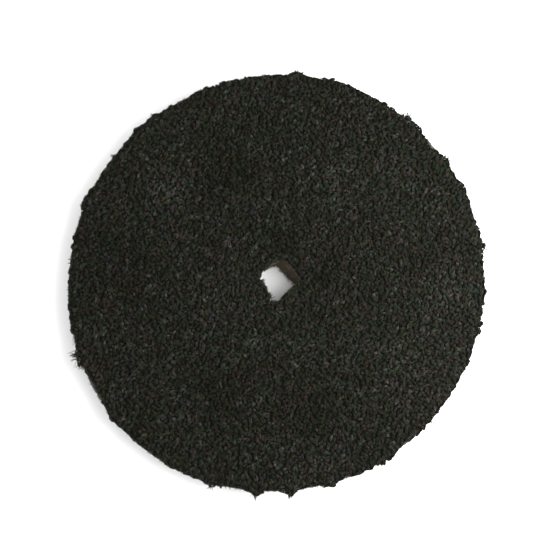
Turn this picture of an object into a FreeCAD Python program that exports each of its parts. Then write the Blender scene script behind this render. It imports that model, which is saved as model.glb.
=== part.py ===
import FreeCAD, Part

import os

# Napped felt polishing wheel: a short cut-pile cloth laminated on a body of two felt plies.
# The wheel lies on its back, with the arbor axis on +Z and the origin at the bore's centre
# on the back face. The pile is the working face and looks along +Z. All sizes are in millimetres.

# Driving dimensions
WHEEL_DIAMETER = 152.4     # 6 in across the tips of the pile
WHEEL_THICKNESS = 12.7     # 1/2 in from the back face to the tips of the pile
BORE_DIAMETER = 13.0       # clears a 12.7 mm (1/2 in) arbor by 0.15 mm all round
PILE_OVERHANG = 0.6        # the outer tufts lean out past the cut edge of the felt
PILE_SHOULDER = 1.2        # radius of the shoulder where the outer tufts roll over the rim

# Thickness of each layer. The two felt plies share what the cloth and the bonds leave.
PILE_HEIGHT = 2.0
GROUND_THICKNESS = 0.4     # plain-woven cloth that holds the tufts
LATEX_THICKNESS = 0.3      # binder that locks the tufts behind the cloth
BOND_THICKNESS = 0.2       # film of contact adhesive

FELT_RADIUS = WHEEL_DIAMETER / 2 - PILE_OVERHANG
CLOTH_THICKNESS = PILE_HEIGHT + GROUND_THICKNESS + LATEX_THICKNESS
FELT_THICKNESS = (WHEEL_THICKNESS - CLOTH_THICKNESS - 2 * BOND_THICKNESS) / 2

UP = FreeCAD.Vector(0, 0, 1)


def bored_disc(radius, bottom, thickness):
    """A flat disc with the arbor bore through it, resting at the height called bottom."""
    foot = FreeCAD.Vector(0, 0, bottom)
    disc = Part.makeCylinder(radius, thickness, foot, UP)
    bore = Part.makeCylinder(BORE_DIAMETER / 2, thickness, foot, UP)
    return disc.cut(bore)


def felt_ply(bottom):
    return bored_disc(FELT_RADIUS, bottom, FELT_THICKNESS)


def adhesive_bond(bottom):
    return bored_disc(FELT_RADIUS, bottom, BOND_THICKNESS)


def latex_coat(bottom):
    return bored_disc(FELT_RADIUS, bottom, LATEX_THICKNESS)


def woven_ground(bottom):
    return bored_disc(FELT_RADIUS, bottom, GROUND_THICKNESS)


def pile_face(bottom):
    """The band of tufts, with a rounded shoulder along its outer top edge."""
    band = bored_disc(WHEEL_DIAMETER / 2, bottom, PILE_HEIGHT)
    top = bottom + PILE_HEIGHT
    shoulder = [edge for edge in band.Edges if is_outer_top_edge(edge, top)]
    return band.makeFillet(PILE_SHOULDER, shoulder)


def is_outer_top_edge(edge, top):
    if not isinstance(edge.Curve, Part.Circle):
        return False
    at_top = abs(edge.Curve.Center.z - top) < 1e-6
    return at_top and edge.Curve.Radius > FELT_RADIUS


# The layers from the back face upwards: node name, builder and thickness
LAYERS = [
    ("rear_felt_ply", felt_ply, FELT_THICKNESS),
    ("ply_bond", adhesive_bond, BOND_THICKNESS),
    ("front_felt_ply", felt_ply, FELT_THICKNESS),
    ("face_bond", adhesive_bond, BOND_THICKNESS),
    ("latex_coat", latex_coat, LATEX_THICKNESS),
    ("woven_ground", woven_ground, GROUND_THICKNESS),
    ("pile_face", pile_face, PILE_HEIGHT),
]


def main():
    os.makedirs("parts", exist_ok=True)
    height = 0.0
    for name, build, thickness in LAYERS:
        layer = build(height)
        layer.exportStep(f"parts/{name}.step")
        height += thickness
        print(f"{name}: volume {layer.Volume:.0f} mm3, top at {height:.2f} mm, valid {layer.isValid()}")


main()
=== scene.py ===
import itertools
import math

import bpy
import numpy as np
from mathutils import Matrix, Vector


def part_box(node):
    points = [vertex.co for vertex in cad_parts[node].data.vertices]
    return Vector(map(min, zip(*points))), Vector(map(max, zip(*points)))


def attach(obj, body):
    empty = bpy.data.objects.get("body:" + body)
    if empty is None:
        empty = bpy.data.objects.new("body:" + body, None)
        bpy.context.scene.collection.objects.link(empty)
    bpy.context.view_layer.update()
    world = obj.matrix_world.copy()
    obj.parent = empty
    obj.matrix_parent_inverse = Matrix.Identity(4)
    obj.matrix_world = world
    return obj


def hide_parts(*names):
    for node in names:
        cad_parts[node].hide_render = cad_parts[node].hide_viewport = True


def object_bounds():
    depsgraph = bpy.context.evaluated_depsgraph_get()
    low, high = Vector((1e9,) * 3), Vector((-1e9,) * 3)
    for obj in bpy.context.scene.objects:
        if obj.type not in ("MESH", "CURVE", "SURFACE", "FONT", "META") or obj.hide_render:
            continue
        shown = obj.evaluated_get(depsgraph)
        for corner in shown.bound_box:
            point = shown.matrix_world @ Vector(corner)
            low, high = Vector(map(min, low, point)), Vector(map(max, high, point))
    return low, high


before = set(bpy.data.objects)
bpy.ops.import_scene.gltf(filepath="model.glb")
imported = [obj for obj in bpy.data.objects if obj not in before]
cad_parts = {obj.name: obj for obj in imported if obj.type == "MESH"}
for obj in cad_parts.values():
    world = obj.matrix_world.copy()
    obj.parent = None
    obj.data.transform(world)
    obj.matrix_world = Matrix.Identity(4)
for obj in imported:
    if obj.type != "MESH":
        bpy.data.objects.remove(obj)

# A felt polishing wheel, 6 in across, that lies on its back. Lengths are in millimetres
# unless a name says otherwise, and angles round the wheel run anticlockwise from +X.
MM = 0.001
TAU = 2 * math.pi

cad_low, cad_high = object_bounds()
WHEEL_RADIUS = (cad_high.x - cad_low.x) / 2 / MM


def node_span(node):
    """The lowest and highest point of a CAD node."""
    low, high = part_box(node)
    return low[2] / MM, high[2] / MM


FELT_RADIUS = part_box("front_felt_ply")[1][0] / MM
PILE_FOOT, PILE_TOP = node_span("pile_face")
PILE_HEIGHT = PILE_TOP - PILE_FOOT

# The wheel was cut out by hand: it is slightly oval, its hole is not quite in the middle,
# and its rim wanders
OVAL_REACH = 1.3
OVAL_DIRECTION = math.radians(45)
OFF_CENTRE = 0.25
OFF_CENTRE_DIRECTION = math.radians(255)
RIM_WANDER = 0.30
# The few places where the pile plainly stands out of the rim, or was cut short of it:
# direction in degrees, reach, half width
RIM_LOBES = [
    (10, 1.4, 1.5),
    (28, 1.0, 3.5),
    (36, 1.5, 1.0),
    (42, -1.0, 4.0),
    (52, 1.2, 2.0),
    (86, 1.0, 2.0),
    (129, 0.8, 2.0),
    (160, 1.0, 2.5),
    (203, 1.6, 3.0),
    (212, -1.0, 4.0),
    (220, 1.0, 2.0),
    (251, 1.0, 1.5),
    (263, 1.5, 2.0),
    (272, 1.0, 1.5),
    (284, 1.3, 2.0),
    (300, 1.0, 3.0),
]
# Bunches of loose fibres that hang out of the rim: direction in degrees, reach, spread, fibres
RIM_WHISKERS = [
    (9.5, 1.6, 0.9, 12),
    (24, 1.2, 0.6, 6),
    (36.5, 1.5, 0.7, 12),
    (52.8, 2.2, 1.2, 22),
    (86, 1.3, 0.7, 8),
    (129, 1.0, 0.6, 6),
    (197.6, 1.5, 0.3, 4),
    (201, 2.3, 1.3, 20),
    (204.5, 1.5, 1.3, 12),
    (251, 1.1, 0.6, 8),
    (262.8, 1.6, 0.8, 12),
    (272.3, 1.2, 0.6, 10),
    (299, 1.2, 0.8, 10),
]

# The hole was cut nearly square, standing on a corner, and the knife ran on at two corners.
# Its cuts are straight from point to point: direction in degrees, distance from the axis
HOLE_CUT = [
    (0, 7.7),
    (78, 7.4),
    (122, 6.6),
    (148, 6.7),
    (165, 7.4),
    (183, 8.3),
    (192, 6.9),
    (208, 6.4),
    (232, 7.2),
    (241, 9.3),
    (253, 8.8),
    (266, 8.0),
    (288, 6.0),
    (331, 5.3),
]
HOLE_RADIUS = sum(reach for _, reach in HOLE_CUT) / len(HOLE_CUT)
# The knife leaned and twisted, so the hole comes out of the back to one side and turned a little
HOLE_LEAN = 3.0
HOLE_LEAN_DIRECTION = math.radians(222)
HOLE_TWIST = math.radians(3)
HOLE_PILE_OVERHANG = 0.3
# The lean is whole at the hole, and fades out by this radius
LEAN_FADES_BY = 30
# Bunches of loose fibres that hang into the hole, in the same terms as the rim's
HOLE_WHISKERS = [
    (14, 0.7, 0.7, 6),
    (34, 1.0, 0.8, 7),
    (58, 0.8, 0.8, 6),
    (150, 0.6, 0.6, 6),
    (189, 1.5, 0.3, 7),
    (212, 0.5, 0.6, 6),
    (235, 1.6, 0.4, 8),
    (247, 1.1, 0.3, 4),
    (262, 0.7, 0.4, 5),
    (300, 0.6, 0.6, 6),
    (320, 0.6, 0.6, 6),
]

# Felt and ground cloth
# How far in from the felt's rim its painted shade reaches
PAINTED_SHADE_WIDTH = 5.0
RIM_FIBRES = 5200
HOLE_FIBRES = 500
THREAD_PITCH = 0.85
FELT_COLUMNS = 1200
CLOTH_COLUMNS = 900

# Pile. The shares are of all tufts, and tones run from 0, dark, to 1, pale
TUFT_PITCH = 1.16
STRANDS_PER_TUFT = 5
NAP_DIRECTION = math.radians(58)
NAP_SPREAD = math.radians(38)
AGAINST_NAP_SHARE = 0.35
PALE_SHARE = 0.06
PALE_LIFT = 0.28
MIDDLE_TONE = 0.41
PILE_SECTORS = 16
BED_COLUMNS = 600
FRINGE_PITCH = 1.0
FRINGE_STRANDS = 10
# Areas where the pile's tone is raised or lowered: x, y, size, change of tone. The pale area at the right
# edge is a painted pool of light
NAP_PATCHES = [
    # painted light: a pale pool at the right edge, where the light falls brighter
    (60, -5, 9, 0.20),
    (50, -30, 12, 0.12),
    (40, 42, 6, 0.15),
    (20, 38, 7, 0.18),
    (10, -68, 12, 0.12),
    (-24, -8, 7, 0.15),
    (-42, 30, 9, 0.22),
    (-60, 5, 14, -0.10),
    (-24, -42, 9, -0.20),
    (12, -48, 9, -0.18),
    (-20, 40, 12, -0.18),
    (0, 13, 5, -0.30),
    (15, 0, 5, -0.30),
]
# A faint pale crease in the pile: x, y
CREASE = [(-20.2, -28.8), (-17.2, -29.7), (-14.2, -28.8), (-11.6, -25.8), (-10.2, -22.0), (-8.8, -18.3)]


# ---------------------------------------------------------------- noise and outlines


def ring_noise(turn, seed, slowest, fastest):
    """Smooth noise of about 1 round the wheel, with from slowest to fastest waves per turn."""
    draw = np.random.default_rng(seed)
    counts = np.arange(slowest, fastest + 1)
    heights = draw.normal(size=len(counts))
    phases = draw.uniform(0, TAU, len(counts))
    waves = heights * np.cos(np.multiply.outer(turn, counts) + phases)
    return waves.sum(axis=-1) / math.sqrt(len(counts) / 2)


def lump_noise(points, size, seed):
    """Smooth noise from -1 to 1 at points, in lumps of a size, which is one number or one per axis."""
    table = np.random.default_rng(seed).uniform(-1, 1, 4096)
    cell = points / np.asarray(size)
    base = np.floor(cell).astype(np.int64)
    part = cell - base
    part = part * part * (3 - 2 * part)
    total = np.zeros(points.shape[:-1])
    for corner in itertools.product((0, 1), repeat=3):
        weight = np.where(corner, part, 1 - part).prod(axis=-1)
        x, y, z = np.moveaxis(base + corner, -1, 0)
        total += weight * table[(x * 73856093 ^ y * 19349663 ^ z * 83492791) & 4095]
    return total


def cut_radius(turn):
    """Where the knife went round the wheel, at the tips of the pile."""
    oval = OVAL_REACH * np.cos(2 * (turn - OVAL_DIRECTION))
    shift = OFF_CENTRE * np.cos(turn - OFF_CENTRE_DIRECTION)
    return WHEEL_RADIUS + oval + shift + RIM_WANDER * ring_noise(turn, 10, 3, 8)


def felt_radius(turn, seed):
    """The cut edge of one layer of the body, which each layer follows with its own small nicks."""
    inset = WHEEL_RADIUS - FELT_RADIUS
    return cut_radius(turn) - inset + 0.10 * ring_noise(turn, seed, 20, 90)


def pile_radius(turn):
    """The outline that the outer tufts reach."""
    radius = cut_radius(turn) - 0.25 + 0.22 * ring_noise(turn, 11, 40, 160)
    radius += 0.25 * ring_noise(turn, 13, 12, 40)
    for direction, reach, width in RIM_LOBES:
        away = np.degrees(np.angle(np.exp(1j * (turn - math.radians(direction)))))
        radius += reach * np.exp(-((away / width) ** 2))
    return radius


def hole_depth(height):
    """How deep a height is in the hole, from 0 at the pile's tips to 1 at the back."""
    return 1 - height / PILE_TOP


def hole_radius(turn, height=PILE_TOP):
    """The cut of the hole about its centre: straight cuts from corner to corner, slightly rough."""
    directions, reaches = np.radians(HOLE_CUT)[:, 0], np.array(HOLE_CUT)[:, 1]
    turn = np.mod(turn - HOLE_TWIST * hole_depth(height), TAU)
    here = np.searchsorted(directions, turn, side="right") - 1
    following = (here + 1) % len(directions)
    start = turn - directions[here]
    end = np.mod(directions[following] - turn, TAU)
    low, high = reaches[here], reaches[following]
    cut = low * high * np.sin(start + end) / (low * np.sin(start) + high * np.sin(end))
    return cut + 0.10 * ring_noise(turn, 12, 8, 40)


def hole_shift(height):
    """The hole's centre at a height: the leaning knife moved it away from its place at the top."""
    reach = HOLE_LEAN * hole_depth(height)
    return np.stack(
        [reach * math.cos(HOLE_LEAN_DIRECTION), reach * math.sin(HOLE_LEAN_DIRECTION)], axis=-1
    )


# ---------------------------------------------------------------- meshes


def make_piece(name, points, face_blocks, material, slot, **values):
    """A smooth-shaded piece. Each block of faces is an array with one row of point numbers per face.

    values are numbers per point, from 0 to 1, that the material reads by name.
    """
    sizes = np.concatenate([np.full(len(block), block.shape[1]) for block in face_blocks])
    corners = np.concatenate([block.ravel() for block in face_blocks])
    mesh = bpy.data.meshes.new(name)
    mesh.vertices.add(len(points))
    mesh.vertices.foreach_set("co", (points * MM).astype(np.float32).ravel())
    mesh.loops.add(len(corners))
    mesh.loops.foreach_set("vertex_index", corners.astype(np.int32))
    mesh.polygons.add(len(sizes))
    mesh.polygons.foreach_set("loop_start", (np.cumsum(sizes) - sizes).astype(np.int32))
    mesh.polygons.foreach_set("use_smooth", np.ones(len(sizes), dtype=bool))
    mesh.update(calc_edges=True)
    for value_name, numbers in values.items():
        layer = mesh.attributes.new(value_name, "FLOAT", "POINT")
        layer.data.foreach_set("value", np.broadcast_to(numbers, len(points)).astype(np.float32))
    mesh.validate()
    mesh.materials.append(material)
    piece = bpy.data.objects.new(name, mesh)
    bpy.context.scene.collection.objects.link(piece)
    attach(piece, "root")
    return piece


def unit(vectors):
    return vectors / np.maximum(np.linalg.norm(vectors, axis=-1, keepdims=True), 1e-9)


def strand_mesh(paths, radii, side, sides):
    """Closed tubes along paths (strands, rings, 3) that end in points. side is square to each bend."""
    count, rings, _ = paths.shape
    along = unit(np.gradient(paths, axis=1))
    side = side[:, None, :]
    side = unit(side - (side * along).sum(-1, keepdims=True) * along)
    other = np.cross(along, side)
    angle = np.arange(sides) * TAU / sides
    round_it = side[:, :, None] * np.cos(angle)[:, None] + other[:, :, None] * np.sin(angle)[:, None]
    shell = paths[:, :, None] + round_it * radii[:, :, None, None]
    blunt_root, rounded_tip = 0.4, 0.9
    root = paths[:, :1] - along[:, :1] * radii[:, :1, None] * blunt_root
    tip = paths[:, -1:] + along[:, -1:] * radii[:, -1:, None] * rounded_tip
    points = np.concatenate([root, shell.reshape(count, -1, 3), tip], axis=1)

    ring = np.arange(rings - 1)[:, None] * sides
    here = np.arange(sides)[None, :]
    following = (here + 1) % sides
    wall = np.stack([ring + here, ring + following, ring + sides + following, ring + sides + here], -1) + 1
    root_fan = np.stack([np.zeros(sides, int), following[0] + 1, here[0] + 1], -1)
    last = (rings - 1) * sides + 1
    tip_fan = np.stack([np.full(sides, rings * sides + 1), last + here[0], last + following[0]], -1)
    first = (np.arange(count) * points.shape[1])[:, None, None]
    quads = (wall.reshape(1, -1, 4) + first).reshape(-1, 4)
    fans = (np.concatenate([root_fan, tip_fan])[None] + first).reshape(-1, 3)
    return points.reshape(-1, 3), quads, fans


def join_strands(parts):
    """One list of points and two blocks of faces from several strand meshes."""
    points, quads, fans, first = [], [], [], 0
    for part_points, part_quads, part_fans in parts:
        points.append(part_points)
        quads.append(part_quads + first)
        fans.append(part_fans + first)
        first += len(part_points)
    return np.concatenate(points), [np.concatenate(quads), np.concatenate(fans)]


def ring_solid(section):
    """A closed ring. section is (profile points, columns, 3), with the profile running round the section."""
    rows, columns, _ = section.shape
    row = np.arange(rows)[:, None]
    column = np.arange(columns)[None, :]
    next_row = (row + 1) % rows
    next_column = (column + 1) % columns
    faces = np.stack(
        [
            row * columns + column,
            row * columns + next_column,
            next_row * columns + next_column,
            next_row * columns + column,
        ],
        -1,
    )
    return section.reshape(-1, 3), [faces.reshape(-1, 4)]


def layer_section(bottom, top, outer, inner, wall_rows, face_rings, columns):
    """The points of a layer: up the outer wall, in over the top, down the hole and out underneath.

    outer(turn, height) and inner(turn, height) give the radius of the rim and of the hole.
    """
    turn = np.arange(columns) * TAU / columns
    heights = np.linspace(bottom, top, wall_rows)
    across = np.linspace(0, 1, face_rings + 2)[1:-1]

    def at(radius, height):
        centre = hole_shift(np.full_like(turn, height)) * np.clip(1 - radius / LEAN_FADES_BY, 0, 1)[:, None]
        x = centre[:, 0] + radius * np.cos(turn)
        y = centre[:, 1] + radius * np.sin(turn)
        return np.stack([x, y, np.full_like(turn, height)], -1)

    rows = [at(outer(turn, z), z) for z in heights]
    rows += [at(outer(turn, top) * (1 - s) + inner(turn, top) * s, top) for s in across]
    rows += [at(inner(turn, z), z) for z in heights[::-1]]
    rows += [at(inner(turn, bottom) * (1 - s) + outer(turn, bottom) * s, bottom) for s in across]
    return np.stack(rows)


# ---------------------------------------------------------------- materials


class Nodes:
    """A node material that is built from the shader back."""

    def __init__(self, name, roughness, sheen=0.0, gloss=0.25):
        self.material = bpy.data.materials.new(name)
        self.material.use_nodes = True
        self.tree = self.material.node_tree
        self.shader = self.tree.nodes["Principled BSDF"]
        self.shader.inputs["Roughness"].default_value = roughness
        self.shader.inputs["Specular IOR Level"].default_value = gloss
        self.shader.inputs["Sheen Weight"].default_value = sheen
        self.shader.inputs["Sheen Roughness"].default_value = 0.6
        self.place = self.add("ShaderNodeTexCoord").outputs["Object"]

    def add(self, kind, **values):
        node = self.tree.nodes.new(kind)
        for name, value in values.items():
            setattr(node, name, value)
        return node

    def link(self, source, target):
        self.tree.links.new(source, target)

    def noise(self, size, detail=2.0, stretch=(1, 1, 1)):
        """Noise in lumps of a size in millimetres, from 0 to 1."""
        mapping = self.add("ShaderNodeMapping")
        mapping.inputs["Scale"].default_value = stretch
        self.link(self.place, mapping.inputs["Vector"])
        noise = self.add("ShaderNodeTexNoise")
        noise.inputs["Scale"].default_value = 1 / (size * MM)
        noise.inputs["Detail"].default_value = detail
        self.link(mapping.outputs["Vector"], noise.inputs["Vector"])
        return noise.outputs["Fac"]

    def value(self, name):
        """A piece's own numbers, from 0 to 1."""
        return self.add("ShaderNodeAttribute", attribute_name=name).outputs["Fac"]

    def ramp(self, source, stops):
        """A colour from a value: stops are (value, (red, green, blue)) from low to high."""
        ramp = self.add("ShaderNodeValToRGB")
        spots = ramp.color_ramp.elements
        while len(spots) < len(stops):
            spots.new(0.5)
        for spot, (value, colour) in zip(spots, stops):
            spot.position = value
            spot.color = (*colour, 1)
        self.link(source, ramp.inputs["Fac"])
        return ramp.outputs["Color"]

    def mix(self, kind, factor, first, second):
        mix = self.add("ShaderNodeMix", data_type="RGBA", blend_type=kind)
        mix.inputs["Factor"].default_value = factor
        self.link(first, mix.inputs["A"])
        self.link(second, mix.inputs["B"])
        return mix.outputs["Result"]

    def by_height(self, low, high, dark):
        """Grey that goes from dark at one height in millimetres to white at another."""
        split = self.add("ShaderNodeSeparateXYZ")
        self.link(self.place, split.inputs["Vector"])
        span = self.add("ShaderNodeMapRange")
        span.inputs["From Min"].default_value = low * MM
        span.inputs["From Max"].default_value = high * MM
        self.link(split.outputs["Z"], span.inputs["Value"])
        return self.ramp(span.outputs["Result"], [(0.0, (dark,) * 3), (1.0, (1.0,) * 3)])

    def colour(self, source):
        self.link(source, self.shader.inputs["Base Color"])

    def bump(self, source, depth, strength=0.6):
        """Raises the surface by a value, to a depth in millimetres."""
        bump = self.add("ShaderNodeBump")
        bump.inputs["Strength"].default_value = strength
        bump.inputs["Distance"].default_value = depth * MM
        self.link(source, bump.inputs["Height"])
        self.link(bump.outputs["Normal"], self.shader.inputs["Normal"])

    def vary_roughness(self, source, low, high):
        span = self.add("ShaderNodeMapRange")
        span.inputs["To Min"].default_value = low
        span.inputs["To Max"].default_value = high
        self.link(source, span.inputs["Value"])
        self.link(span.outputs["Result"], self.shader.inputs["Roughness"])


def pile_material():
    """Charcoal yarn. Each tuft has its own tone and tint, and painted shade darkens the yarn down between the
    tufts.
    """
    pile = Nodes("pile_yarn", 0.9, sheen=0.008, gloss=0.03)
    tone = pile.ramp(
        pile.value("tone"),
        [
            (0.0, (0.0054, 0.0058, 0.0034)),
            (0.35, (0.0106, 0.0110, 0.0081)),
            (0.65, (0.0187, 0.0188, 0.0158)),
            (1.0, (0.0440, 0.0425, 0.0395)),
        ],
    )
    tint = pile.ramp(
        pile.value("tint"),
        [
            (0.0, (1.31, 0.86, 1.07)),
            (0.25, (1.12, 0.95, 1.00)),
            (0.50, (0.99, 1.01, 0.96)),
            (0.75, (0.86, 1.07, 0.93)),
            (1.0, (0.72, 1.15, 0.90)),
        ],
    )
    dye = pile.ramp(pile.noise(1.2, 2.0), [(0.36, (1.02, 1.00, 0.68)), (0.64, (0.98, 1.00, 1.24))])
    fibres = pile.ramp(pile.noise(0.20, 2.0), [(0.30, (0.86, 0.77, 0.79)), (0.70, (1.14, 1.23, 1.21))])
    # painted shade: the yarn is darker the lower it stands, for the shade in the gaps between the tufts
    painted_depth_shade = pile.by_height(PILE_FOOT + 0.5, PILE_TOP - 0.25, 0.36)
    colour = tone
    for layer in (tint, dye, fibres, painted_depth_shade):
        colour = pile.mix("MULTIPLY", 1.0, colour, layer)
    pile.colour(colour)
    pile.bump(pile.noise(0.12, 2.0), 0.05)
    return pile.material


def felt_material():
    """Brown wool felt, streaked along its layers and flecked, and darkened towards a bluish black by a
    painted shade value that runs from 0 to 1.
    """
    felt = Nodes("body_felt", 0.95, sheen=0.03, gloss=0.1)
    tone = felt.ramp(
        felt.noise(3.0, 5.0, stretch=(1, 1, 1.6)),
        [(0.30, (0.058, 0.050, 0.033)), (0.55, (0.094, 0.078, 0.054)), (0.75, (0.145, 0.122, 0.088))],
    )
    flecks = felt.ramp(
        felt.noise(0.50, 5.0, stretch=(1, 1, 1.8)),
        [(0.36, (0.55, 0.54, 0.52)), (0.50, (1.0, 1.0, 1.0)), (0.64, (1.65, 1.55, 1.42))],
    )
    # painted shade: the felt turns dark and bluish where the painted shade value is 1
    soil = felt.ramp(felt.value("soil"), [(0.0, (1.0, 1.0, 1.0)), (1.0, (0.32, 0.38, 0.52))])
    felt.colour(felt.mix("MULTIPLY", 1.0, felt.mix("MULTIPLY", 1.0, tone, flecks), soil))
    felt.bump(felt.noise(0.22, 4.0, stretch=(1, 1, 2)), 0.12)
    return felt.material


def film_material(name, dark, light, roughness):
    """A dull film of latex or adhesive, blotched where fibres soaked it up."""
    film = Nodes(name, roughness)
    film.colour(film.ramp(film.noise(1.1, 3.0), [(0.35, dark), (0.68, light)]))
    film.bump(film.noise(0.5, 3.0), 0.06)
    film.vary_roughness(film.noise(0.8, 2.0), roughness - 0.15, roughness + 0.15)
    return film.material


def cloth_material():
    """The dark ground cloth, mottled like its yarn."""
    cloth = Nodes("ground_cloth", 0.9, sheen=0.05)
    cloth.colour(
        cloth.ramp(cloth.noise(0.6, 3.0), [(0.3, (0.030, 0.027, 0.021)), (0.7, (0.072, 0.064, 0.050))])
    )
    cloth.bump(cloth.noise(0.25, 2.0), 0.08)
    return cloth.material


def floor_material():
    floor = Nodes("studio_floor", 0.75)
    floor.colour(floor.ramp(floor.noise(120, 2.0), [(0.3, (0.86, 0.86, 0.86)), (0.7, (0.90, 0.90, 0.90))]))
    return floor.material


PILE_YARN = pile_material()
BODY_FELT = felt_material()
GROUND_CLOTH = cloth_material()
LATEX = film_material("latex", (0.046, 0.039, 0.029), (0.085, 0.073, 0.054), 0.7)
ADHESIVE = film_material("contact_adhesive", (0.050, 0.034, 0.018), (0.105, 0.074, 0.042), 0.6)


# ---------------------------------------------------------------- the felt body


def felt_ply(node, seed):
    """One felt ply: a ring with fibrous, slightly hollowed cut walls."""
    bottom, top = node_span(node)

    def outer(turn, height):
        edge = felt_radius(turn, seed)
        place = np.stack([edge * np.cos(turn), edge * np.sin(turn), np.full_like(turn, height)], -1)
        matted = 0.20 * lump_noise(place, (1.6, 1.6, 0.7), seed + 1)
        fine = 0.09 * lump_noise(place, (0.7, 0.7, 0.4), seed + 2)
        middle = (height - bottom) / (top - bottom) * 2 - 1
        hollow = 0.22 * (1 - middle**2)
        rounded_corner = 0.12 * middle**6
        return edge - hollow + matted + fine - rounded_corner

    def inner(turn, height):
        edge = hole_radius(turn, height) + HOLE_PILE_OVERHANG
        place = np.stack([edge * np.cos(turn), edge * np.sin(turn), np.full_like(turn, height)], -1)
        matted = 0.14 * lump_noise(place, (1.2, 1.2, 0.8), seed + 3)
        return edge - matted - 0.08 * lump_noise(place, (0.5, 0.5, 0.4), seed + 4)

    section = layer_section(bottom, top, outer, inner, wall_rows=17, face_rings=6, columns=FELT_COLUMNS)
    points, faces = ring_solid(section)
    # painted shade darkens the rim and a little of the faces beside it, and in the hole it darkens the wall
    # towards its top
    at_rim = np.hypot(points[:, 0], points[:, 1]) > FELT_RADIUS - PAINTED_SHADE_WIDTH
    soil = np.where(at_rim, 1.0, (points[:, 2] / PILE_TOP - 0.45).clip(0) * 1.5)
    piece = make_piece(node + "_felt", points, faces, BODY_FELT, "body_felt", soil=soil)
    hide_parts(node)
    return piece


def film(node, material, slot, seed, squeeze):
    """A thin film between two layers, squeezed out or starved here and there along its edge."""
    bottom, top = node_span(node)

    def outer(turn, height):
        middle = (height - bottom) / (top - bottom) * 2 - 1
        bead = squeeze * (0.4 + ring_noise(turn, seed + 1, 30, 220))
        return felt_radius(turn, seed) + bead - 0.08 * middle**2

    def inner(turn, height):
        edge = hole_radius(turn, height) + HOLE_PILE_OVERHANG
        return edge - 0.5 * squeeze * ring_noise(turn, seed + 2, 3, 30)

    section = layer_section(bottom, top, outer, inner, wall_rows=5, face_rings=2, columns=FELT_COLUMNS)
    points, faces = ring_solid(section)
    piece = make_piece(node + "_film", points, faces, material, slot)
    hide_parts(node)
    return piece


def wall_fibres(name, node, seed, count, hole=False):
    """Loose fibres on a felt ply's cut wall: most lie along it and some stand off it."""
    draw = np.random.default_rng(seed)
    bottom, top = node_span(node)
    turn = draw.uniform(0, TAU, count)
    height = draw.uniform(bottom + 0.1, top - 0.1, count)
    if hole:
        edge = hole_radius(turn, height) + HOLE_PILE_OVERHANG
    else:
        edge = felt_radius(turn, seed) - 0.15
    facing = -1.0 if hole else 1.0
    centre = hole_shift(height) if hole else np.zeros((count, 2))
    outward = np.stack([np.cos(turn), np.sin(turn), np.zeros(count)], -1) * facing
    root = outward * facing * edge[:, None]
    root[:, :2] += centre
    root[:, 2] = height
    tangent = np.cross(outward, (0, 0, 1.0))
    lie = draw.uniform(0, TAU, count)
    along = tangent * np.cos(lie)[:, None] + np.array([0, 0, 1.0]) * (0.55 * np.sin(lie))[:, None]
    length = draw.uniform(0.7, 2.2, count) * (0.6 if hole else 1.0)
    stand = draw.gamma(1.2, 0.16, count).clip(0.02, 0.9) * (0.6 if hole else 1.0)
    crimp = draw.normal(0, 0.12, (count, 5, 3))
    step = np.linspace(0, 1, 5)[None, :, None]
    paths = root[:, None] + along[:, None] * (step - 0.3) * length[:, None, None]
    paths = paths + outward[:, None] * np.sin(step * 2.4) * stand[:, None, None] + crimp * step
    paths[:, :, 2] = paths[:, :, 2].clip(0.06, PILE_TOP)
    radii = np.array([0.03, 0.05, 0.05, 0.04, 0.02]) * draw.uniform(0.7, 1.3, (count, 1))
    points, blocks = join_strands([strand_mesh(paths, radii, outward, 3)])
    each = len(points) // count
    # painted shade on the rim fibres, of random strength; none on the hole's fibres
    soil = np.zeros(count) if hole else draw.uniform(0.25, 1.0, count)
    return make_piece(name, points, blocks, BODY_FELT, "body_felt", soil=np.repeat(soil, each))


# ---------------------------------------------------------------- the ground cloth


def ground_cloth():
    """The woven ground: a thin ring with an uneven cut edge."""
    bottom, top = node_span("woven_ground")

    def outer(turn, height):
        return felt_radius(turn, 71) + 0.12 * ring_noise(turn, 72, 60, 200)

    def inner(turn, height):
        return hole_radius(turn, height) + HOLE_PILE_OVERHANG - 0.1 * ring_noise(turn, 73, 3, 24)

    section = layer_section(bottom, top, outer, inner, wall_rows=4, face_rings=40, columns=CLOTH_COLUMNS)
    points, faces = ring_solid(section)
    piece = make_piece("ground_cloth", points, faces, GROUND_CLOTH, "ground_cloth")
    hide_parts("woven_ground")
    return piece


def frayed_threads():
    """The cut ends of the ground cloth's warp and weft, all round the rim."""
    draw = np.random.default_rng(81)
    count = int(TAU * FELT_RADIUS / THREAD_PITCH)
    turn = (np.arange(count) + draw.uniform(-0.2, 0.2, count)) * TAU / count
    bottom, top = node_span("woven_ground")
    # a thread runs along X or along Y, whichever meets the rim more squarely there
    runs_x = np.abs(np.cos(turn)) > np.abs(np.sin(turn))
    along = np.where(
        runs_x[:, None],
        np.stack([np.sign(np.cos(turn)), np.zeros(count), np.zeros(count)], -1),
        np.stack([np.zeros(count), np.sign(np.sin(turn)), np.zeros(count)], -1),
    )
    edge = felt_radius(turn, 71) - 0.4
    root = np.stack([edge * np.cos(turn), edge * np.sin(turn), np.full(count, (bottom + top) / 2)], -1)
    length = draw.uniform(0.5, 1.3, count)
    step = np.linspace(0, 1, 4)[None, :, None]
    droop = np.array([0, 0, -1.0]) * draw.uniform(-0.1, 0.5, count)[:, None]
    paths = root[:, None] + along[:, None] * step * length[:, None, None] + droop[:, None] * step**2
    paths = paths + draw.normal(0, 0.05, (count, 4, 3)) * step
    radii = np.array([0.17, 0.17, 0.15, 0.09]) * draw.uniform(0.8, 1.1, (count, 1))
    side = np.cross(along, (0, 0, 1.0))
    points, blocks = join_strands([strand_mesh(paths, radii, side, 6)])
    return make_piece("ground_cloth_frayed_edge", points, blocks, GROUND_CLOTH, "ground_cloth")


# ---------------------------------------------------------------- the pile


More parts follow.
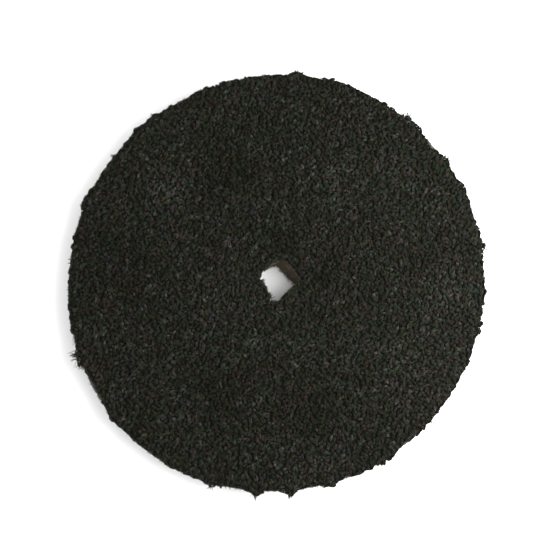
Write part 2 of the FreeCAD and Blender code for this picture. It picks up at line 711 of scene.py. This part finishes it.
def pile_bed():
    """The dense roots of the pile: a lumpy ring that closes the gaps between the tufts."""
    bottom = PILE_FOOT
    top = PILE_FOOT + 0.55 * PILE_HEIGHT

    def outer(turn, height):
        up = (height - bottom) / (top - bottom)
        return pile_radius(turn) - 0.75 - 0.5 * up**3

    def inner(turn, height):
        return hole_radius(turn) + 0.15 + 0.1 * ring_noise(turn, 92, 4, 30)

    section = layer_section(bottom, top, outer, inner, wall_rows=5, face_rings=76, columns=BED_COLUMNS)
    above = section[..., 2] > top - 0.01
    section[..., 2] += np.where(above, 0.30 * lump_noise(section, 1.0, 93), 0)
    points, faces = ring_solid(section)
    piece = make_piece("pile_bed", points, faces, PILE_YARN, "pile", tone=0.35, tint=0.45)
    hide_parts("pile_face")
    return piece


def tuft_roots():
    """Where the tufts stand: a triangular grid over the face, shaken up until no rows show."""
    draw = np.random.default_rng(101)
    reach = WHEEL_RADIUS + 4
    columns = np.arange(-reach, reach, TUFT_PITCH)
    rows = np.arange(-reach, reach, TUFT_PITCH * math.sqrt(3) / 2)
    x, y = np.meshgrid(columns, rows)
    x[1::2] += TUFT_PITCH / 2
    spots = np.stack([x.ravel(), y.ravel()], -1)
    spots += draw.normal(0, 0.40, spots.shape) * TUFT_PITCH
    turn = np.arctan2(spots[:, 1], spots[:, 0])
    radius = np.hypot(spots[:, 0], spots[:, 1])
    inside = (radius < pile_radius(turn) - 0.75) & (radius > hole_radius(turn) + 0.40)
    return spots[inside]


def edge_lean(spots):
    """How far a tuft leans out over the rim, or in over the hole, and how much that lowers it."""
    turn = np.arctan2(spots[:, 1], spots[:, 0])
    radius = np.hypot(spots[:, 0], spots[:, 1])
    outward = spots / radius[:, None]
    near_rim = np.exp(-((pile_radius(turn) - radius - 0.6).clip(0) / 1.1) ** 2)
    near_hole = np.exp(-((radius - hole_radius(turn) - 0.4).clip(0) / 0.8) ** 2)
    lean = outward * (0.55 * near_rim - 0.40 * near_hole)[:, None]
    return lean, 0.60 * near_rim + 0.30 * near_hole


def nearness(spots, x, y, size):
    """1 at a place and 0 well outside it."""
    return np.exp(-((spots[:, 0] - x) ** 2 + (spots[:, 1] - y) ** 2) / size**2)


def nap_noise(spots, shortest, longest, seed):
    """Smooth noise of about 1 over the face: waves between two lengths, half as long again along the nap."""
    draw = np.random.default_rng(seed)
    count = 64
    heading = draw.uniform(0, TAU, count)
    pitch = TAU / draw.uniform(shortest, longest, count)
    phase = draw.uniform(0, TAU, count)
    along = spots @ [math.cos(NAP_DIRECTION), math.sin(NAP_DIRECTION)] / 1.5
    across = spots @ [-math.sin(NAP_DIRECTION), math.cos(NAP_DIRECTION)]
    waves = np.outer(along, pitch * np.cos(heading)) + np.outer(across, pitch * np.sin(heading))
    return np.cos(waves + phase).sum(axis=1) * math.sqrt(2 / count)


def crease_line():
    """Points close together along the crease, with its corners rounded off."""
    knots = np.arange(len(CREASE))
    fine = np.linspace(0, knots[-1], 60)
    line = np.stack([np.interp(fine, knots, values) for values in np.transpose(CREASE)], -1)
    for _ in range(8):
        line[1:-1] = (line[:-2] + 2 * line[1:-1] + line[2:]) / 4
    return line


def tuft_tones(draw, spots):
    """Each tuft's tone and tint from 0 to 1: partly its own, and partly shared with its neighbours."""
    flat = np.c_[spots, np.zeros(len(spots))]
    patch = 0.06 * lump_noise(flat, 6.0, 104) + 0.09 * nap_noise(spots, 2.3, 5.6, 105)
    patch += sum(change * nearness(spots, x, y, size) for x, y, size, change in NAP_PATCHES)
    patch += 0.20 * sum(nearness(spots, x, y, 0.8) for x, y in crease_line()).clip(0, 1)
    pale = draw.uniform(0, 1, len(spots)) < PALE_SHARE
    tone = MIDDLE_TONE + draw.normal(0, 0.10, len(spots)) + patch + PALE_LIFT * pale
    tint = 0.50 + draw.normal(0, 0.24, len(spots)) + 0.14 * lump_noise(flat, 2.0, 106)
    return tone.clip(0, 1), tint.clip(0.06, 0.94)


def bent_strands(root, lean, height, rings, curl=0.0):
    """Paths and sides of strands that rise from their roots and bend over along lean.

    curl swings each strand's tip to the left of its lean, as a share of the lean's length.
    """
    step = np.linspace(0, 1, rings)[None, :, None]
    ahead = np.c_[lean, np.zeros(len(lean))]
    left = np.c_[-lean[:, 1], lean[:, 0], np.zeros(len(lean))]
    rise = np.sin(step * 2.0) * height[:, None, None] * np.array([0, 0, 1.0])
    swing = left * np.broadcast_to(curl, len(lean))[:, None]
    paths = root[:, None] + ahead[:, None] * step**1.6 + swing[:, None] * step**3 + rise
    return paths, unit(left)


def yarn_piece(name, paths, radii, side, sides, tone, tint):
    """A piece of pile yarn. tone and tint are numbers per strand."""
    points, quads, fans = strand_mesh(paths, radii, side, sides)
    each = len(points) // len(paths)
    return make_piece(
        name, points, [quads, fans], PILE_YARN, "pile", tone=np.repeat(tone, each), tint=np.repeat(tint, each)
    )


def face_tufts():
    """The cut pile of the working face, in sectors. A tuft is strands side by side, bent over one way."""
    draw = np.random.default_rng(102)
    spots = tuft_roots()
    flat = np.c_[spots, np.zeros(len(spots))]
    lean_out, lowered = edge_lean(spots)
    way = NAP_DIRECTION + draw.normal(0, NAP_SPREAD, len(spots))
    way += 0.5 * lump_noise(flat, 6.0, 107) + 0.5 * lump_noise(flat, 25.0, 108)
    way += np.pi * (draw.uniform(0, 1, len(spots)) < AGAINST_NAP_SHARE)
    tall = PILE_HEIGHT * (1 + 0.04 * nap_noise(spots, 2.3, 5.6, 103)) - lowered
    tall += draw.normal(0, 0.13, len(spots)) - 0.1
    bend = draw.lognormal(math.log(1.5), 0.32, len(spots)).clip(0.6, 2.8)
    width = draw.uniform(0.20, 0.42, len(spots))
    curl = draw.normal(0, 0.16, len(spots))
    tone, tint = tuft_tones(draw, spots)

    tuft = np.repeat(np.arange(len(spots)), STRANDS_PER_TUFT)
    count = len(tuft)
    place = np.tile(np.linspace(-1, 1, STRANDS_PER_TUFT), len(spots))
    twist = way[tuft] - 0.15 * place + draw.normal(0, 0.26, count)
    ahead = np.stack([np.cos(twist), np.sin(twist)], -1)
    across = np.stack([-ahead[:, 1], ahead[:, 0]], -1)
    lean = ahead * (bend[tuft] * draw.uniform(0.8, 1.15, count))[:, None] + lean_out[tuft]
    foot = spots[tuft] + across * (place * width[tuft])[:, None] - 0.55 * lean
    root = np.c_[foot + draw.normal(0, 0.05, (count, 2)), np.full(count, PILE_FOOT + 0.15)]
    height = tall[tuft] - 0.12 * place**2 + draw.normal(0, 0.07, count)
    radii = np.array([0.10, 0.15, 0.16, 0.09]) * draw.uniform(0.8, 1.2, (count, 4))
    paths, side = bent_strands(root, lean, height, 4, curl[tuft])
    paths += draw.normal(0, 0.03, paths.shape)

    sector = ((np.arctan2(spots[:, 1], spots[:, 0]) / TAU % 1) * PILE_SECTORS).astype(int)[tuft]
    strand_tone = (tone[tuft] + draw.normal(0, 0.06, count)).clip(0, 1)
    strand_tint = (tint[tuft] + draw.normal(0, 0.12, count)).clip(0, 1)
    pieces = []
    for number in range(PILE_SECTORS):
        mine = sector == number
        name = f"pile_sector_{number + 1:02d}"
        pieces.append(
            yarn_piece(name, paths[mine], radii[mine], side[mine], 4, strand_tone[mine], strand_tint[mine])
        )
    return pieces


def edge_fringe(name, seed, edge_of, facing, mean_radius, reach, uneven, inset):
    """Tufts all along a cut edge of the pile, which roll out over it and hang down past its side.

    facing is 1 at the rim and -1 in the hole, inset is how far in from the edge the tufts stand,
    and uneven is how much their reach differs, as a share of it.
    """
    draw = np.random.default_rng(seed)
    clumps = int(TAU * mean_radius / FRINGE_PITCH)
    clump_turn = (np.arange(clumps) + draw.uniform(-0.4, 0.4, clumps)) * TAU / clumps
    clump_reach = reach * (0.93 + uneven * draw.uniform(-1, 1, clumps))
    clump_tone = (0.45 + draw.normal(0, 0.13, clumps)).clip(0, 1)
    clump_tint = (0.50 + draw.normal(0, 0.22, clumps)).clip(0, 1)
    member = np.repeat(np.arange(clumps), FRINGE_STRANDS)
    count = len(member)
    turn = clump_turn[member] + draw.normal(0, 0.28, count) / mean_radius
    edge = edge_of(turn)
    ray = np.stack([np.cos(turn), np.sin(turn)], -1)
    tangent = np.stack([-ray[:, 1], ray[:, 0]], -1)
    level = draw.uniform(0, 1, count)
    push = clump_reach[member] * (1 - 0.30 * level**2) * draw.uniform(0.9, 1.05, count)
    slide = draw.normal(0, 0.35, count)
    step = np.linspace(0, 1, 5)[None, :, None]
    root = np.c_[ray * (edge - facing * inset)[:, None], PILE_FOOT - 0.2 + 1.25 * level]
    out = np.c_[ray * (facing * push)[:, None], np.zeros(count)]
    along = np.c_[tangent * slide[:, None], np.zeros(count)]
    rise = (0.55 + 0.9 * level) * draw.uniform(0.8, 1.1, count)
    fall = draw.uniform(0.9, 1.8, count) + 0.4 * level
    up = np.array([0, 0, 1.0]) * rise[:, None]
    down = np.array([0, 0, -1.0]) * fall[:, None]
    paths = root[:, None] + out[:, None] * np.sin(1.9 * step) + along[:, None] * step**1.5
    paths += up[:, None] * np.sin(2.2 * step) + down[:, None] * step**2.2
    paths += draw.normal(0, 0.03, paths.shape)
    radii = np.array([0.12, 0.17, 0.20, 0.18, 0.10]) * draw.uniform(0.85, 1.15, (count, 5))
    side = np.c_[tangent, np.zeros(count)]
    return yarn_piece(name, paths, radii, side, 4, clump_tone[member], clump_tint[member])


def whiskers(name, seed, bunches, edge_of, facing, thickness):
    """Bunches of loose fibres of a thickness that stand out of a cut edge of the pile."""
    draw = np.random.default_rng(seed)
    paths, radii, side, tone = [], [], [], []
    for direction, reach, spread, count in bunches:
        centre = math.radians(direction)
        turn = centre + draw.normal(0, 0.5, count) * spread / edge_of(np.array([centre]))
        edge = edge_of(turn) - facing * 0.9
        ray = np.stack([np.cos(turn), np.sin(turn)], -1)
        tangent = np.stack([-ray[:, 1], ray[:, 0]], -1)
        root = np.c_[ray * edge[:, None], draw.uniform(PILE_FOOT + 0.4, PILE_TOP - 0.6, count)]
        length = reach * draw.uniform(0.5, 1.1, count) + 0.7
        lean = ray * (facing * length)[:, None] + tangent * (draw.normal(0, 0.35, count) * length)[:, None]
        path, square = bent_strands(root, lean, draw.uniform(-0.6, 0.8, count), 6)
        drift = draw.normal(0, 0.10, path.shape) * np.linspace(0, 1, 6)[None, :, None]
        paths.append(path + drift)
        taper = np.array([0.50, 0.50, 0.46, 0.42, 0.32, 0.18]) * thickness
        radii.append(taper * draw.uniform(0.6, 1.4, (count, 1)))
        side.append(square)
        tone.append(draw.uniform(0.35, 0.85, count))
    tone = np.concatenate(tone)
    tint = draw.uniform(0.2, 0.7, len(tone))
    return yarn_piece(
        name, np.concatenate(paths), np.concatenate(radii), np.concatenate(side), 4, tone, tint
    )


# ---------------------------------------------------------------- the studio


def camera():
    """Almost straight above the wheel, a little towards its far left corner, with +Y up in the picture."""
    tilt = math.radians(10)
    towards = math.radians(219.6)
    lens = 70.0
    view_width = 1.321 * 2 * WHEEL_RADIUS
    target = Vector((-0.87, -0.73, PILE_TOP)) * MM
    sensor = 36
    distance = view_width * lens / sensor * MM
    back = Vector(
        (math.sin(tilt) * math.cos(towards), math.sin(tilt) * math.sin(towards), math.cos(tilt))
    )
    data = bpy.data.cameras.new("camera")
    data.lens = lens
    data.sensor_width = sensor
    data.clip_start = 0.01
    right = Vector((0, 1, 0)).cross(back).normalized()
    up = back.cross(right)
    eye = bpy.data.objects.new("camera", data)
    turned = Matrix((right, up, back)).transposed().to_4x4()
    eye.matrix_world = Matrix.Translation(target + back * distance) @ turned
    bpy.context.scene.collection.objects.link(eye)
    bpy.context.scene.camera = eye


def area_light(name, place, size, power):
    """A square soft light at a place in metres that faces the wheel."""
    data = bpy.data.lights.new(name, "AREA")
    data.size = size
    data.energy = power
    lamp = bpy.data.objects.new(name, data)
    lamp.location = place
    lamp.rotation_euler = Vector(place).to_track_quat("Z", "Y").to_euler()
    lamp.visible_camera = False
    bpy.context.scene.collection.objects.link(lamp)


def studio():
    scene = bpy.context.scene
    scene.view_settings.view_transform = "Standard"
    world = bpy.data.worlds.new("studio")
    world.use_nodes = True
    world.node_tree.nodes["Background"].inputs["Color"].default_value = (1.0, 1.0, 1.0, 1)
    world.node_tree.nodes["Background"].inputs["Strength"].default_value = 1.4
    scene.world = world
    area_light("key_light", (0.23, -0.03, 0.44), 0.30, 1.8)
    area_light("side_light", (0.19, 0.00, 0.12), 0.14, 0.9)
    size = 3.0
    mesh = bpy.data.meshes.new("floor")
    corners = [(-size, -size, 0), (size, -size, 0), (size, size, 0), (-size, size, 0)]
    mesh.from_pydata(corners, [], [(0, 1, 2, 3)])
    mesh.materials.append(floor_material())
    floor = bpy.data.objects.new("floor", mesh)
    scene.collection.objects.link(floor)


# ---------------------------------------------------------------- putting it together

rear_ply = felt_ply("rear_felt_ply", seed=21)
front_ply = felt_ply("front_felt_ply", seed=31)
ply_bond = film("ply_bond", ADHESIVE, "contact_adhesive", seed=41, squeeze=0.12)
face_bond = film("face_bond", ADHESIVE, "contact_adhesive", seed=51, squeeze=0.10)
latex = film("latex_coat", LATEX, "latex", seed=61, squeeze=0.10)
rear_fuzz = wall_fibres("rear_felt_ply_rim_fibres", "rear_felt_ply", 22, RIM_FIBRES)
front_fuzz = wall_fibres("front_felt_ply_rim_fibres", "front_felt_ply", 32, RIM_FIBRES)
rear_hole_fuzz = wall_fibres("rear_felt_ply_hole_fibres", "rear_felt_ply", 23, HOLE_FIBRES, hole=True)
front_hole_fuzz = wall_fibres("front_felt_ply_hole_fibres", "front_felt_ply", 33, HOLE_FIBRES, hole=True)

ground = ground_cloth()
threads = frayed_threads()
bed = pile_bed()
sectors = face_tufts()
rim_fringe = edge_fringe(
    "pile_rim_fringe", 111, pile_radius, 1, WHEEL_RADIUS, reach=0.95, uneven=0.18, inset=1.05
)
hole_fringe = edge_fringe(
    "pile_hole_fringe", 112, hole_radius, -1, HOLE_RADIUS, reach=1.00, uneven=0.60, inset=1.10
)
rim_whiskers = whiskers("pile_rim_whiskers", 113, RIM_WHISKERS, pile_radius, 1, thickness=0.22)
hole_whiskers = whiskers("pile_hole_whiskers", 114, HOLE_WHISKERS, hole_radius, -1, thickness=0.40)

camera()
studio()
